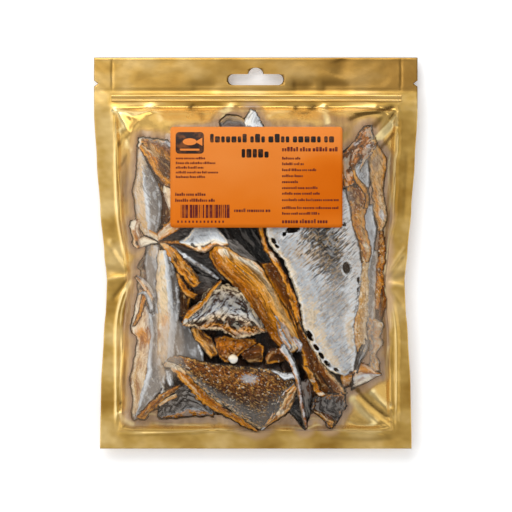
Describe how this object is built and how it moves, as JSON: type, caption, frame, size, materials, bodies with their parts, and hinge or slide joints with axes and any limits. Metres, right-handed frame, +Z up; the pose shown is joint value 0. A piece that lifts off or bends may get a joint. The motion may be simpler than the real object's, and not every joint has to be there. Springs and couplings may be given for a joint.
{
  "type": "pouch of dried cod collarbones",
  "caption": "Flat zip pouch with a foil back, a clear front, a hang hole and a plain orange label, full of dried cod collarbones.",
  "frame": {"origin": "on the table, under the middle of the pouch's outline", "axes": "+X to the right across the front, +Y towards the header, +Z up out of the clear front"},
  "size_m": [0.3004, 0.363, 0.069],
  "materials": {
    "gold_foil": "satin gold laminate",
    "dried_fish": "dried amber flesh and grey skin",
    "label_paper": "satin orange paper",
    "zip_plastic": "clear plastic over gold foil",
    "clear_film": "clear glossy film",
    "label_print": "dark matt print"
  },
  "bodies": {
    "root": {"foil_pouch": "gold_foil", "window_with_collarbones": "dried_fish", "label": "label_paper", "zip_track": "zip_plastic"}
  },
  "joints": []
}
